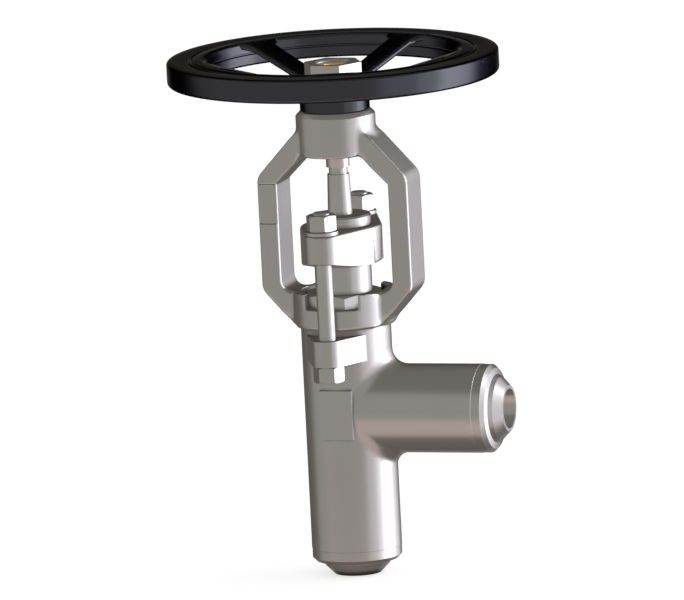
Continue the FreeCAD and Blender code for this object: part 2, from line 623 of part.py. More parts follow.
def make_gland_flange():
    hub = revolved("gland_hub", (
        ("0", GLAND_BOTTOM), ("gland_hub_radius - gland_hub_draft", GLAND_BOTTOM),
        ("gland_hub_radius", GLAND_TOP), ("0", GLAND_TOP)))
    lean = "((gland_hub_radius - gland_end_radius) / stud_offset)"
    level = f"sqrt(1 - {lean} * {lean})"
    hub_x, hub_y = f"gland_hub_radius * {level}", f"gland_hub_radius * {lean}"
    end_x, end_y = f"gland_end_radius * {level}", f"(stud_offset + gland_end_radius * {lean})"
    corners = [(hub_x, f"-{hub_y}"), (hub_x, hub_y), (end_x, end_y), (f"-{end_x}", end_y),
               (f"-{hub_x}", hub_y), (f"-{hub_x}", f"-{hub_y}"), (f"-{end_x}", f"-{end_y}"),
               (end_x, f"-{end_y}")]
    arms = padded("gland_arms", "XY_Plane", corners, "gland_hub_depth", place_z=GLAND_BOTTOM)
    ends = [cylinder(f"gland_end_{end}", "gland_end_radius", "gland_hub_depth",
                     place_y=f"{side} * stud_offset", place_z=GLAND_BOTTOM)
            for end, side in (("front", -1), ("back", 1))]
    reach = "(stud_offset + gland_end_radius + gland_web)"
    underside = revolved("gland_underside", (
        ("0", GLAND_BOTTOM), ("gland_hub_radius - gland_hub_draft", GLAND_BOTTOM),
        (reach, f"{GLAND_TOP} - gland_tip_depth"), (reach, GLAND_TOP), ("0", GLAND_TOP)))
    plate = common("gland_tapered_plate", fused("gland_plate", arms, *ends), underside)

    def top_rim(edge):
        return edge.BoundBox.ZLength < 0.01 and near(edge.BoundBox.ZMin, number("gland_rise") + plate_level)

    plate_level = number("inlet_leg") + number("barrel_rise") + number("neck_height")
    soft_plate = rounded("gland_soft_plate", plate, "gland_edge_blend", top_rim)

    def hub_rim(edge):
        return edge.BoundBox.ZLength < 0.01

    soft_hub = rounded("gland_soft_hub", hub, "gland_edge_blend", hub_rim)
    collar = revolved("gland_collar", (
        ("0", BUSH_TOP), ("gland_collar_radius", BUSH_TOP),
        ("gland_collar_radius", f"{COLLAR_TOP} - 1.5"), ("gland_collar_radius - 1.5", COLLAR_TOP),
        ("0", COLLAR_TOP)))
    blank = fused("gland_blank", soft_plate, soft_hub, collar)
    bores = fused(
        "gland_bores",
        cylinder("gland_stem_bore", "stem_radius + 2 * free_gap", "gland_hub_depth + gland_collar_height",
                 place_z=GLAND_BOTTOM),
        cylinder("gland_recess", "gland_recess_radius", f"{BUSH_TOP} - {GLAND_BOTTOM}", place_z=GLAND_BOTTOM),
        stud_holes("gland_holes", GLAND_BOTTOM, "gland_hub_depth"))
    piece("gland_flange", cut("gland_machined", blank, bores))


def both_studs(name, make):
    """The same fastener at the front and at the back."""
    return piece(name, group(f"{name}_pair", make(f"{name}_front", -1), make(f"{name}_back", 1)))


def hex_nut(name, across_flats, height, bore, turn="0", **place):
    """A hexagon nut with both faces turned down to a chamfered circle."""
    corner = f"({across_flats} / 2 / cos(30deg))"
    flat = f"({across_flats} / 2 * 0.95)"
    drop = f"(({corner} - {flat}) / 2)"
    blank = revolved(f"{name}_turned", (
        (bore, "0"), (flat, "0"), (corner, drop), (corner, f"{height} - {drop}"), (flat, height),
        (bore, height)), **place)
    return common(name, hexagon(f"{name}_hexagon", across_flats, height, turn, **place), blank)


def make_gland_fasteners():
    stud_bottom, nut_top = LOWER_NUT_BOTTOM, f"({UPPER_NUT_BOTTOM} + stud_nut_height)"
    stud_top = f"({nut_top} + stud_end_proud)"

    def stud(name, side):
        return revolved(name, (
            ("0", stud_bottom), ("stud_radius - 1", stud_bottom), ("stud_radius", f"{stud_bottom} + 1"),
            ("stud_radius", f"{stud_bottom} + stud_thread_length"),
            ("stud_shank_radius", f"{stud_bottom} + stud_thread_length + stud_radius - stud_shank_radius"),
            ("stud_shank_radius", f"{stud_top} - stud_thread_length"),
            ("stud_radius", f"{stud_top} - stud_thread_length + stud_radius - stud_shank_radius"),
            ("stud_radius", f"{stud_top} - 1.5"), ("stud_radius - 1.5", stud_top), ("0", stud_top)),
            place_y=f"{side} * stud_offset")

    def washer(name, side):
        disc = ring(name, "stud_hole_radius", "gland_washer_radius", GLAND_TOP, UPPER_NUT_BOTTOM)
        return bind(disc, place_y=f"{side} * stud_offset")

    def lower_nut(name, side):
        return hex_nut(name, "stud_nut_hex", "stud_nut_height", "stud_radius + fit_gap", "lower_nut_turn",
                       place_y=f"{side} * stud_offset", place_z=LOWER_NUT_BOTTOM)

    def upper_nut(name, side):
        return hex_nut(name, "stud_nut_hex", "stud_nut_height", "stud_radius + running_gap", "0",
                       place_y=f"{side} * stud_offset", place_z=UPPER_NUT_BOTTOM)

    both_studs("gland_studs", stud)
    both_studs("stud_lower_nuts", lower_nut)
    both_studs("gland_washers", washer)
    both_studs("gland_nuts", upper_nut)


def mirrored_corners(right_side):
    """Corners of a shape that is symmetrical about the stem, from those on its right."""
    left_side = [(f"-({x})", y) for x, y in reversed(right_side)]
    return list(right_side) + left_side


def yoke_frame():
    """Both arms in one plate, with the window cut out and the long edges rounded."""
    foot, upper = f"({SHOULDER} + arm_foot_rise)", f"({SHOULDER} + arm_upper_rise)"
    ring_edge = "(ring_radius - 6)"
    outside = mirrored_corners([
        (ring_edge, SHOULDER), ("arm_outer", foot), ("arm_outer", upper),
        ("arm_outer - arm_upper_lean", f"{upper} + arm_upper_height")])
    frame = padded("yoke_frame", "XZ_Plane", outside, "arm_depth", midplane=True)
    corner_start = f"({HEAD_BOTTOM} - window_corner)"
    window = mirrored_corners([
        ("arm_inner", RING_TOP), ("arm_inner", corner_start), ("arm_inner - window_corner", HEAD_BOTTOM)])
    pocket = frame.newObject("PartDesign::Pocket", "yoke_window")
    pocket.Profile = outline(frame, "XZ_Plane", window, "yoke_window_outline")
    pocket.Midplane = True
    pocket.Type = "Length"
    bind(pocket, Length="2 * arm_depth")
    frame.Tip = pocket

    def across(edge, x, z):
        box = edge.BoundBox
        return (near(box.YLength, number("arm_depth")) and near(abs(box.XMin), number(x))
                and near(box.ZMin, number(z)))

    body_fillet(frame, "arm_corners", "arm_corner_blend",
                lambda edge: across(edge, "arm_outer", foot) or across(edge, "arm_outer", upper))
    body_fillet(frame, "window_corners", "window_blend", lambda edge: across(edge, "arm_inner", RING_TOP))
    half_depth = number("arm_depth") / 2
    body_fillet(frame, "arm_edges", "arm_edge_blend",
                lambda edge: near(abs(edge.BoundBox.YMin), half_depth) and edge.BoundBox.YLength < 0.01)
    return frame


def make_yoke():
    collar = revolved("yoke_ring", (
        ("0", SHOULDER), ("ring_radius - ring_chamfer", SHOULDER),
        ("ring_radius", f"{SHOULDER} + ring_chamfer"), ("ring_radius", RING_TOP), ("0", RING_TOP)))
    head = revolved("yoke_head", (
        ("0", HEAD_BOTTOM), ("head_radius", HEAD_BOTTOM), ("head_radius", f"{HEAD_TOP} - head_chamfer"),
        ("head_radius - head_chamfer", HEAD_TOP), ("0", HEAD_TOP)))
    blank = fused("yoke_blank", yoke_frame(), collar, head)
    depth = "(ring_radius + arm_depth)"
    cuts = fused(
        "yoke_cuts",
        cylinder("ring_bore", "neck_radius + thread_gap", "ring_height", place_z=SHOULDER),
        block("wrench_slots", "wrench_slot_width", f"2 * {depth}", f"{RING_TOP} - {NECK_TOP}",
              place_x="-wrench_slot_width / 2", place_y=f"-{depth}", place_z=NECK_TOP),
        cylinder("head_bore", "stem_radius + stem_clearance", "head_height", place_z=HEAD_BOTTOM),
        cylinder("bearing_pocket", "bearing_pocket_radius", f"{HEAD_TOP} - {POCKET_FLOOR}",
                 place_z=POCKET_FLOOR),
        block("milled_flat", "2 * (arm_outer - arm_inner)", "arm_depth", "milled_flat_height",
              place_x="-2 * arm_outer + arm_inner", place_y="-1.5 * arm_depth + milled_flat_depth",
              place_z=f"{SHOULDER} + milled_flat_low"),
        block("guide_key_slot", "guide_key_width + 2 * fit_gap", "guide_key_length + fit_gap",
              "head_floor - 1",
              place_x="-guide_key_width / 2 - fit_gap", place_y="guide_key_reach",
              place_z=f"{HEAD_BOTTOM} + 1"),
        cross_cylinder("lock_screw_hole", "lock_screw_radius + thread_gap", "2 * ring_radius",
                       FreeCAD.Vector(0, 1, 0), place_z=f"{SHOULDER} + lock_screw_rise"))
    piece("yoke", cut("yoke_machined", blank, cuts))
    piece("stem_guide_key", block(
        "guide_key", "guide_key_width", "guide_key_length", "head_floor - 1 - fit_gap",
        place_x="-guide_key_width / 2", place_y="guide_key_reach", place_z=f"{HEAD_BOTTOM} + 1"))


def make_lock_screw():
    start = "(neck_radius - lock_screw_bite)"
    length = f"(ring_radius - {start} - 1)"
    along_y = FreeCAD.Vector(0, 1, 0)
    height = f"{SHOULDER} + lock_screw_rise"
    shank = cross_cylinder("lock_screw_shank", "lock_screw_radius", length, along_y,
                           place_y=start, place_z=height)
    socket = feature("Part::Prism", "lock_screw_hexagon", Circumradius="lock_screw_socket / 2 / cos(30deg)",
                     Height="lock_screw_socket")
    socket.Placement = FreeCAD.Placement(FreeCAD.Vector(), FreeCAD.Rotation(FreeCAD.Vector(0, 0, 1), along_y))
    bind(socket, place_y=f"{start} + {length} - lock_screw_socket + 0.2", place_z=height)
    piece("yoke_lock_screw", cut("lock_screw", shank, socket))


def thrust_bearing(name, low, bore, outer):
    """Two hardened washers with the roller cage between them."""
    cage_low = f"({low} + race_thickness)"
    cage_high = f"({cage_low} + cage_thickness)"
    parts = (
        ring(f"{name}_lower_race", bore, outer, low, cage_low),
        ring(f"{name}_cage", f"{bore} + 1", f"{outer} - 1", cage_low, cage_high),
        ring(f"{name}_upper_race", bore, outer, cage_high, f"{cage_high} + race_thickness"))
    piece(name, group(f"{name}_set", *parts))


def make_bearings():
    outer = "bearing_pocket_radius - fit_gap"
    thrust_bearing("lower_thrust_bearing", POCKET_FLOOR, "bearing_bore_radius", outer)
    thrust_bearing("upper_thrust_bearing", UPPER_BEARING, "nut_sleeve_radius + running_gap", outer)
    ring_top = f"{HEAD_TOP} - lock_ring_depth"
    plain = ring("ring_nut_plain", "nut_sleeve_radius + free_gap", outer, LOCK_RING_BOTTOM, ring_top)
    notches = block("ring_nut_notches", "spanner_notch", "4 * bearing_pocket_radius", "spanner_notch / 2",
                    place_x="-spanner_notch / 2", place_y="-2 * bearing_pocket_radius",
                    place_z=f"{ring_top} - spanner_notch / 2")
    piece("bearing_ring_nut", cut("ring_nut", plain, notches))


KEY_LOW = f"({HUB_BOTTOM} + (hub_height - wheel_key_length) / 2)"
KEY_INNER = "(wheel_seat_radius - wheel_key_height / 2)"


def key_slot(name):
    return block(name, "wheel_key_width + 2 * fit_gap", "wheel_key_height + fit_gap", "wheel_key_length",
                 place_x="-wheel_key_width / 2 - fit_gap", place_y=KEY_INNER, place_z=KEY_LOW)


def make_stem_nut():
    bore = "stem_thread_radius + running_gap"
    turned = revolved("stem_nut_turned", (
        (bore, NUT_FLANGE_BOTTOM), ("nut_flange_radius", NUT_FLANGE_BOTTOM),
        ("nut_flange_radius", NUT_FLANGE_TOP), ("nut_sleeve_radius", NUT_FLANGE_TOP),
        ("nut_sleeve_radius", HUB_BOTTOM), ("wheel_seat_radius", HUB_BOTTOM),
        ("wheel_seat_radius", f"{STEM_NUT_TOP} - 1"), ("wheel_seat_radius - 1", STEM_NUT_TOP),
        (f"{bore} + 1", STEM_NUT_TOP), (bore, f"{STEM_NUT_TOP} - 1")))
    piece("stem_nut", cut("stem_nut_machined", turned, key_slot("stem_nut_key_slot")))
    piece("wheel_key", block("wheel_feather", "wheel_key_width", "wheel_key_height", "wheel_key_length",
                             place_x="-wheel_key_width / 2", place_y=KEY_INNER, place_z=KEY_LOW))


def window_corners():
    """One gap between two spokes: two straight sides, the hub side and the rim side."""
    step = "(360deg / spoke_count)"
    hub_half, rim_half = "(spoke_hub_width / 2)", "(spoke_rim_width / 2)"
    hub_edge, rim_edge = "(hub_radius + free_gap)", "rim_inner_radius"

    def along(radius, half):
        return f"sqrt({radius} * {radius} - {half} * {half})"

    def turned(radius, half):
        reach = along(radius, half)
        return (f"{reach} * cos({step}) + {half} * sin({step})",
                f"{reach} * sin({step}) - {half} * cos({step})")

    first_inner = (along(hub_edge, hub_half), hub_half)
    first_outer = (along(rim_edge, rim_half), rim_half, "arc")
    second_outer = turned(rim_edge, rim_half)
    second_inner = turned(hub_edge, hub_half) + ("arc",)
    return first_inner, first_outer, second_outer, second_inner


def window_prism(index):
    """The space between two spokes, with its four upright corners rounded."""
    name = f"wheel_window_{index + 1}"
    prism = padded(name, "XY_Plane", window_corners(), "rim_rise + rim_height", place_z=HUB_BOTTOM)
    turn = FreeCAD.Rotation(FreeCAD.Vector(0, 0, 1), 360 * index / number("spoke_count"))
    prism.Placement = FreeCAD.Placement(prism.Placement.Base, turn)

    def upright(edge, radius):
        box = edge.BoundBox
        return box.ZLength > 1 and near(math.hypot(box.XMin, box.YMin), number(radius))

    body_fillet(prism, f"{name}_rim_corners", "spoke_rim_blend",
                lambda edge: upright(edge, "rim_inner_radius"))
    body_fillet(prism, f"{name}_hub_corners", "spoke_hub_blend",
                lambda edge: upright(edge, "hub_radius + free_gap"))
    return prism


def make_handwheel():
    wheel = new_body("wheel_casting")
    spoke_top_rim = f"({RIM_TOP} - spoke_top_drop)"
    bead_inner = "(rim_inner_radius + rim_band_width)"
    ledge = "(rim_inner_radius + rim_ledge)"
    section = outline(wheel, "XZ_Plane", (
        ("wheel_seat_radius + fit_gap", HUB_BOTTOM), ("hub_radius", HUB_BOTTOM),
        ("hub_radius", f"{HUB_TOP} - spoke_thickness"),
        ("rim_inner_radius", f"{spoke_top_rim} - spoke_thickness"),
        (ledge, f"{spoke_top_rim} - spoke_thickness"),
        (f"{ledge} + 1.5", RIM_BOTTOM), ("wheel_radius", RIM_BOTTOM), ("wheel_radius", RIM_TOP),
        ("wheel_radius - rim_edge_blend", RIM_TOP),
        (bead_inner, f"{RIM_TOP} - rim_bead_fall"),
        (f"{bead_inner} - rim_step", f"{RIM_TOP} - rim_bead_fall + rim_step"),
        ("rim_inner_radius + 1", f"{RIM_TOP} - rim_bead_fall + rim_step"),
        ("rim_inner_radius", f"{RIM_TOP} - rim_bead_fall + rim_step - 1"),
        ("rim_inner_radius", spoke_top_rim), ("hub_radius", HUB_TOP),
        ("wheel_seat_radius + fit_gap", HUB_TOP)), "wheel_section")
    turning = wheel.newObject("PartDesign::Revolution", "wheel_turning")
    turning.Profile = section
    turning.ReferenceAxis = (section, ["V_Axis"])
    turning.Angle = 360
    wheel.Tip = turning
    def rim_edge(edge):
        box = edge.BoundBox
        return (box.ZLength < 0.01 and near(box.XMax, number("wheel_radius"))
                and box.XLength > number("wheel_radius"))

    body_fillet(wheel, "rim_edges", "rim_edge_blend - 0.1", rim_edge)

    windows = [window_prism(index) for index in range(round(number("spoke_count")))]
    openings = fused("wheel_openings", *windows, key_slot("hub_key_slot"))
    piece("handwheel", cut("wheel_machined", wheel, openings))


def make_wheel_fasteners():
    piece("wheel_washer", ring("wheel_disc", "wheel_seat_radius + fit_gap", "wheel_washer_radius",
                               HUB_TOP, WHEEL_NUT_BOTTOM))
    piece("wheel_nut", cut(
        "wheel_hex_nut",
        hexagon("wheel_nut_blank", "wheel_nut_hex", "wheel_nut_height", "0", place_z=WHEEL_NUT_BOTTOM),
        revolved("wheel_nut_bore", (
            ("0", WHEEL_NUT_BOTTOM), ("wheel_seat_radius + fit_gap", WHEEL_NUT_BOTTOM),
            ("wheel_seat_radius + fit_gap", f"{WHEEL_NUT_TOP} - wheel_nut_countersink"),
            ("wheel_seat_radius + fit_gap + wheel_nut_countersink", WHEEL_NUT_TOP), ("0", WHEEL_NUT_TOP)))))


def check_document():
    """Stop if any object failed or any sub-part is not a sound solid."""
    doc.recompute()
    for obj in doc.Objects:
        if "Invalid" in obj.State or "Error" in obj.State:
            raise RuntimeError(f"{obj.Name} failed: {obj.State}")
    for name, obj in PIECES.items():
        if obj.Shape.isNull() or not obj.Shape.isValid() or not obj.Shape.Solids:
            raise RuntimeError(f"{name} is not a valid solid")


def write_steps():
    os.makedirs("parts", exist_ok=True)
    for name, obj in PIECES.items():
        obj.Shape.exportStep(f"parts/{name}.step")


make_valve_body()
make_seat()
make_plug()
make_stem()
make_bonnet()
make_packing()
make_gland_bush()
make_gland_flange()
make_gland_fasteners()
make_yoke()
make_lock_screw()
make_bearings()
make_stem_nut()
make_handwheel()
make_wheel_fasteners()
check_document()
write_steps()
for name, obj in PIECES.items():
    box = obj.Shape.BoundBox
    print(f"{name}: {len(obj.Shape.Solids)} solid(s), {obj.Shape.Volume / 1000:.2f} cm3, "
          f"z {box.ZMin:.1f} to {box.ZMax:.1f}")
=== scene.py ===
# %% [markdown]
# A continuous blowdown valve in a small studio.
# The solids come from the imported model, already at their real place and size. This script gives every
# surface its finish, rebuilds the pieces whose curves need more care, and sets camera, lamps and floor.

# %% Load the frame
import json
import math

import bmesh
import bpy
from mathutils import Matrix, Vector
from mathutils.bvhtree import BVHTree
from mathutils.kdtree import KDTree


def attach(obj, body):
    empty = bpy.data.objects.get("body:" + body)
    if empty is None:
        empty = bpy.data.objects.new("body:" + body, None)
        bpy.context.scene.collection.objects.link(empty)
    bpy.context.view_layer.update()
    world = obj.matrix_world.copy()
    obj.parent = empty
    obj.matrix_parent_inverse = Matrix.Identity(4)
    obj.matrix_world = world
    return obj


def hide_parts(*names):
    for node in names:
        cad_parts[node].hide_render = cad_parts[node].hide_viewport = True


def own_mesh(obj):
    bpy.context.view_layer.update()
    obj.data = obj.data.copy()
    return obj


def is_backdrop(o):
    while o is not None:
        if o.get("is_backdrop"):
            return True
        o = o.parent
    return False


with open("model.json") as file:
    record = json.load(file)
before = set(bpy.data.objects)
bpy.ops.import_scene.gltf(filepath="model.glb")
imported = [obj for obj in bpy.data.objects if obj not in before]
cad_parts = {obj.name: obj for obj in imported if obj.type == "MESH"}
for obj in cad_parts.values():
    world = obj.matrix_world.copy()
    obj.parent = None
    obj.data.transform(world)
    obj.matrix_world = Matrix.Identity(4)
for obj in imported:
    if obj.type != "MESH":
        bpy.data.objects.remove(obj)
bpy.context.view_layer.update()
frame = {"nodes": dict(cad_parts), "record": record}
NODES = frame["nodes"]

# %% [markdown]
# The camera stands far away behind a long lens, so the picture is almost a parallel view. It looks a
# little down and from the right, and it is rolled by about three degrees, which makes the stem lean.
# The aim is a point on the stem, and two small offsets settle the object in the picture.

# %% Camera
PICTURE_WIDTH = 684
SENSOR_MM = 36.0
FOCAL_PIXELS = 22607.25
CAMERA_DISTANCE = 20.0
CAMERA_AZIMUTH = math.radians(18.2428)
CAMERA_ELEVATION = math.radians(9.585)
CAMERA_ROLL = math.radians(-2.9107)
AIM_HEIGHT = 0.2544
AIM_RIGHT = -0.0019
AIM_UP = -0.0097
CLIP_NEAR, CLIP_FAR = 1.0, 60.0


def direction(azimuth, elevation):
    """From the stem outwards, with angles in radians: azimuth 0 is the front, 90 degrees the outlet side."""
    return Vector((math.sin(azimuth) * math.cos(elevation), -math.cos(azimuth) * math.cos(elevation),
                   math.sin(elevation)))


def camera_axes(azimuth, elevation, roll):
    """Right, up and back of a camera that looks at the stem."""
    back = direction(azimuth, elevation)
    level = Vector((math.cos(azimuth), math.sin(azimuth), 0))
    up = back.cross(level)
    right = level * math.cos(roll) + up * math.sin(roll)
    return right, back.cross(right), back


def make_camera():
    right, up, back = camera_axes(CAMERA_AZIMUTH, CAMERA_ELEVATION, CAMERA_ROLL)
    data = bpy.data.cameras.new("camera")
    data.sensor_width = SENSOR_MM
    data.lens = FOCAL_PIXELS * SENSOR_MM / PICTURE_WIDTH
    data.clip_start = CLIP_NEAR
    data.clip_end = CLIP_FAR
    camera = bpy.data.objects.new("camera", data)
    bpy.context.scene.collection.objects.link(camera)
    place = Vector((0, 0, AIM_HEIGHT)) + right * AIM_RIGHT + up * AIM_UP + back * CAMERA_DISTANCE
    turn = Matrix((right, up, back)).transposed().to_4x4()
    camera.matrix_world = Matrix.Translation(place) @ turn
    bpy.context.scene.camera = camera
    print("camera lens", round(data.lens, 1), "mm")


make_camera()

# %% [markdown]
# A finish is a small graph of shader nodes. Writing the maths as Python keeps it short: a Field wraps a
# socket, and each sign of arithmetic adds its Math node. A Finish is one material with its shader.

# %% Shader helpers
NOISE_DETAIL = 2.0
HOLLOW_SAMPLES = 16


class Field:
    """A value that changes over the surface."""

    def __init__(self, finish, socket):
        self.finish = finish
        self.socket = socket

    def maths(self, operation, *others):
        return self.finish.node("ShaderNodeMath", {"operation": operation}, dict(enumerate(others)))

    def __add__(self, other):
        return self.maths("ADD", self, other)

    def __radd__(self, other):
        return self.maths("ADD", other, self)

    def __sub__(self, other):
        return self.maths("SUBTRACT", self, other)

    def __rsub__(self, other):
        return self.maths("SUBTRACT", other, self)

    def __mul__(self, other):
        return self.maths("MULTIPLY", self, other)

    def __rmul__(self, other):
        return self.maths("MULTIPLY", other, self)

    def between(self, low, high):
        """0 below low, 1 above high and a straight ramp from one to the other."""
        values = {"Value": self, "From Min": low, "From Max": high}
        return self.finish.node("ShaderNodeMapRange", {"clamp": True}, values)


class Finish:
    """One material: its nodes are added by name, its shader takes the results."""

    def __init__(self, name, shader="ShaderNodeBsdfPrincipled"):
        self.material = bpy.data.materials.new(name)
        self.material.use_nodes = True
        self.tree = self.material.node_tree
        self.tree.nodes.clear()
        self.output = self.tree.nodes.new("ShaderNodeOutputMaterial")
        self.shader = self.tree.nodes.new(shader)
        self.tree.links.new(self.shader.outputs[0], self.output.inputs["Surface"])

    def fill(self, node, values):
        for key, value in values.items():
            if isinstance(value, Field):
                self.tree.links.new(value.socket, node.inputs[key])
            else:
                node.inputs[key].default_value = value

    def node(self, kind, settings=None, values=None, output=0):
        made = self.tree.nodes.new(kind)
        for key, value in (settings or {}).items():
            setattr(made, key, value)
        self.fill(made, values or {})
        return Field(self, made.outputs[output])

    def place(self):
        return self.node("ShaderNodeTexCoord", output="Object")

    def noise(self, scale, detail=NOISE_DETAIL):
        values = {"Vector": self.place(), "Scale": scale, "Detail": detail}
        return self.node("ShaderNodeTexNoise", {"noise_dimensions": "3D"}, values)

    def openness(self, reach):
        """1 on open surfaces, down to 0 in hollows narrower than the reach."""
        settings = {"samples": HOLLOW_SAMPLES}
        return self.node("ShaderNodeAmbientOcclusion", settings, {"Distance": reach}, "AO")

    def tint(self, low, high, factor):
        """A colour from low to high. On colours the Mix node takes its inputs 6 and 7 and gives output 2."""
        return self.node("ShaderNodeMix", {"data_type": "RGBA"}, {0: factor, 6: low, 7: high}, 2)

    def bump(self, height, strength, distance):
        values = {"Height": height, "Strength": strength, "Distance": distance}
        return self.node("ShaderNodeBump", None, values)


def shade(value, red=1.0, blue=1.0):
    """A linear grey whose red and blue may differ a little from its green."""
    return (value * red, value, value * blue, 1.0)


print("shader helpers ready")

# %% [markdown]
# Bare steel is a mirror with a rough face, so its look is made by roughness and by a faint unevenness of
# that roughness. Turned faces are a little smoother here than the blasted forging, and ground ones more
# even. The hollows get painted shade: an Ambient Occlusion node finds them, and they are tinted darker.
# The bores get painted shade too, a steel that is almost black.

# %% Steel finishes
STEEL_RED, STEEL_BLUE = 1.045, 0.93
STEEL_EDGE = (0.5, 0.5, 0.5, 1.0)
STEEL_BUMP = 0.25
CLOUD_SCALE, CLOUD_DETAIL = 14.0, 3.0
CLOUD_DARK, CLOUD_LIGHT = 0.94, 1.05
# Painted shade: hollows that the Ambient Occlusion node finds get a darker, warmer base colour.
HOLLOW_REACH, HOLLOW_TONE = 0.007, 0.18
HOLLOW_RED, HOLLOW_BLUE = 1.1, 0.85
HOLLOW_CLOSED, HOLLOW_OPEN = 0.35, 0.8


def steel(name, tone, roughness, spread, grain, grain_height, blue=STEEL_BLUE):
    finish = Finish(name)
    cloud = finish.noise(CLOUD_SCALE, CLOUD_DETAIL)
    speck = finish.noise(grain)
    clean = finish.tint(shade(tone * CLOUD_DARK, STEEL_RED, blue), shade(tone * CLOUD_LIGHT, STEEL_RED, blue),
                        cloud)
    # The darker, warmer colour in the hollows is painted shade.
    painted_hollow_shade = shade(tone * HOLLOW_TONE, HOLLOW_RED, HOLLOW_BLUE)
    open_to_light = finish.openness(HOLLOW_REACH).between(HOLLOW_CLOSED, HOLLOW_OPEN)
    finish.fill(finish.shader, {
        "Base Color": finish.tint(painted_hollow_shade, clean, open_to_light), "Metallic": 1.0, "Specular Tint": STEEL_EDGE,
        "Roughness": (speck + cloud) * spread + (roughness - spread),
        "Normal": finish.bump(speck, STEEL_BUMP, grain_height)})
    print(name, "tone", tone, "roughness", roughness)
    return finish.material


FORGED = steel("fine_blasted_steel", 0.245, 0.30, 0.03, 1400.0, 0.00002)
MACHINED = steel("turned_steel", 0.25, 0.28, 0.03, 900.0, 0.00001)
POLISHED = steel("ground_stainless_steel", 0.26, 0.30, 0.02, 700.0, 0.000005)
BRIGHT = steel("machined_fastener_steel", 0.25, 0.28, 0.03, 900.0, 0.000005)
BEARING = steel("ground_bearing_steel", 0.42, 0.2, 0.02, 700.0, 0.00001, 1.0)
# A near-black steel that paints shade into the yoke's bores, slot sides and bearing pocket.
BORE_SHADE_STEEL = steel("bore_steel_painted_shade", 0.05, 0.35, 0.03, 900.0, 0.00001)

# %% [markdown]
# The stem nut is cast bronze, whose colour drifts in clouds over fine pores. The packing is pressed
# graphite, nearly black, with flakes that glint. Both use two noises, one for colour and one for relief.

# %% Bronze and graphite
BRONZE_DARK, BRONZE_LIGHT = (0.38, 0.22, 0.075, 1.0), (0.46, 0.28, 0.105, 1.0)
BRONZE_CLOUD, BRONZE_PORES = 120.0, 900.0
BRONZE_BUMP, PORE_DEPTH = 0.3, 0.00003
GRAPHITE_DARK, GRAPHITE_LIGHT = (0.022, 0.022, 0.024, 1.0), (0.042, 0.042, 0.045, 1.0)
GRAPHITE_CLOUD, GRAPHITE_FLAKES = 180.0, 1600.0
GRAPHITE_BUMP, FLAKE_DEPTH = 0.4, 0.00005
FINE_DETAIL = 3.0


def cast_bronze():
    finish = Finish("cast_bronze")
    cloud, pores = finish.noise(BRONZE_CLOUD, FINE_DETAIL), finish.noise(BRONZE_PORES)
    finish.fill(finish.shader, {
        "Base Color": finish.tint(BRONZE_DARK, BRONZE_LIGHT, cloud), "Metallic": 1.0,
        "Roughness": cloud * 0.12 + 0.26, "Normal": finish.bump(pores, BRONZE_BUMP, PORE_DEPTH)})
    return finish.material


def pressed_graphite():
    finish = Finish("pressed_graphite")
    flakes, cloud = finish.noise(GRAPHITE_FLAKES, FINE_DETAIL), finish.noise(GRAPHITE_CLOUD)
    finish.fill(finish.shader, {
        "Base Color": finish.tint(GRAPHITE_DARK, GRAPHITE_LIGHT, flakes),
        "Roughness": cloud * 0.2 + 0.48, "Normal": finish.bump(flakes, GRAPHITE_BUMP, FLAKE_DEPTH)})
    return finish.material


BRONZE, GRAPHITE = cast_bronze(), pressed_graphite()
print(BRONZE.name, GRAPHITE.name)

# %% [markdown]
# The handwheel is cast iron under smooth black enamel. Real enamel is a clear gloss over black, and such
# a gloss mirrors more of a pale room the flatter one looks along it. Here the enamel is a very dark mirror
# instead, with a Specular Tint that holds the reflection at the edges back.

# %% Black enamel
ENAMEL_DARK, ENAMEL_LIGHT = shade(0.031, 1.0, 1.1), shade(0.035, 1.0, 1.1)
ENAMEL_EDGE = (0.22, 0.22, 0.22, 1.0)
RIPPLE_SCALE, RIPPLE_BUMP, RIPPLE_DEPTH = 60.0, 0.12, 0.0002


def black_enamel():
    finish = Finish("black_enamel")
    ripple = finish.noise(RIPPLE_SCALE)
    finish.fill(finish.shader, {
        "Base Color": finish.tint(ENAMEL_DARK, ENAMEL_LIGHT, ripple), "Metallic": 1.0,
        "Specular Tint": ENAMEL_EDGE, "Roughness": ripple * 0.04 + 0.2,
        "Normal": finish.bump(ripple, RIPPLE_BUMP, RIPPLE_DEPTH)})
    return finish.material


ENAMEL = black_enamel()
print(ENAMEL.name)

# %% [markdown]
# Every solid names a material slot in its record. One table gives each slot its finish, so that pieces of
# the same stuff look alike, and the solids' own meshes stay as they came.

# %% Finishes on the solids
SLOT_FINISH = {
    "forged_steel": FORGED, "machined_steel": MACHINED, "stainless_steel": POLISHED, "fasteners": BRIGHT,
    "bearing_steel": BEARING, "black_wheel": ENAMEL, "bronze": BRONZE, "graphite": GRAPHITE,
}
SLOT_OF = {part["node"]: part["material_slot"] for part in frame["record"]["subparts"]}

for node, slot in SLOT_OF.items():
    mesh = NODES[node].data
    mesh.materials.clear()
    mesh.materials.append(SLOT_FINISH[slot])
print(len(SLOT_OF), "solids in", len(set(SLOT_OF.values())), "finishes")

# %% [markdown]
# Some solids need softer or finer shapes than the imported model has. A new piece starts from a joined copy
# of its solid's mesh, which comes as loose triangles, or from an outline of its own. It is worked on with
# mesh operators, and then stands for that solid. It rides on the same body.

# %% Helpers for new pieces
MM = 0.001
BODY_OF = {node: body for body, nodes in frame["record"]["behaviour"]["bodies"].items() for node in nodes}


def joined_copy(node):
    """A copy of a solid's mesh with its triangles joined at their corners."""
    shape = bmesh.new()
    shape.from_mesh(NODES[node].data)
    bmesh.ops.remove_doubles(shape, verts=shape.verts, dist=0.001 * MM)
    return shape


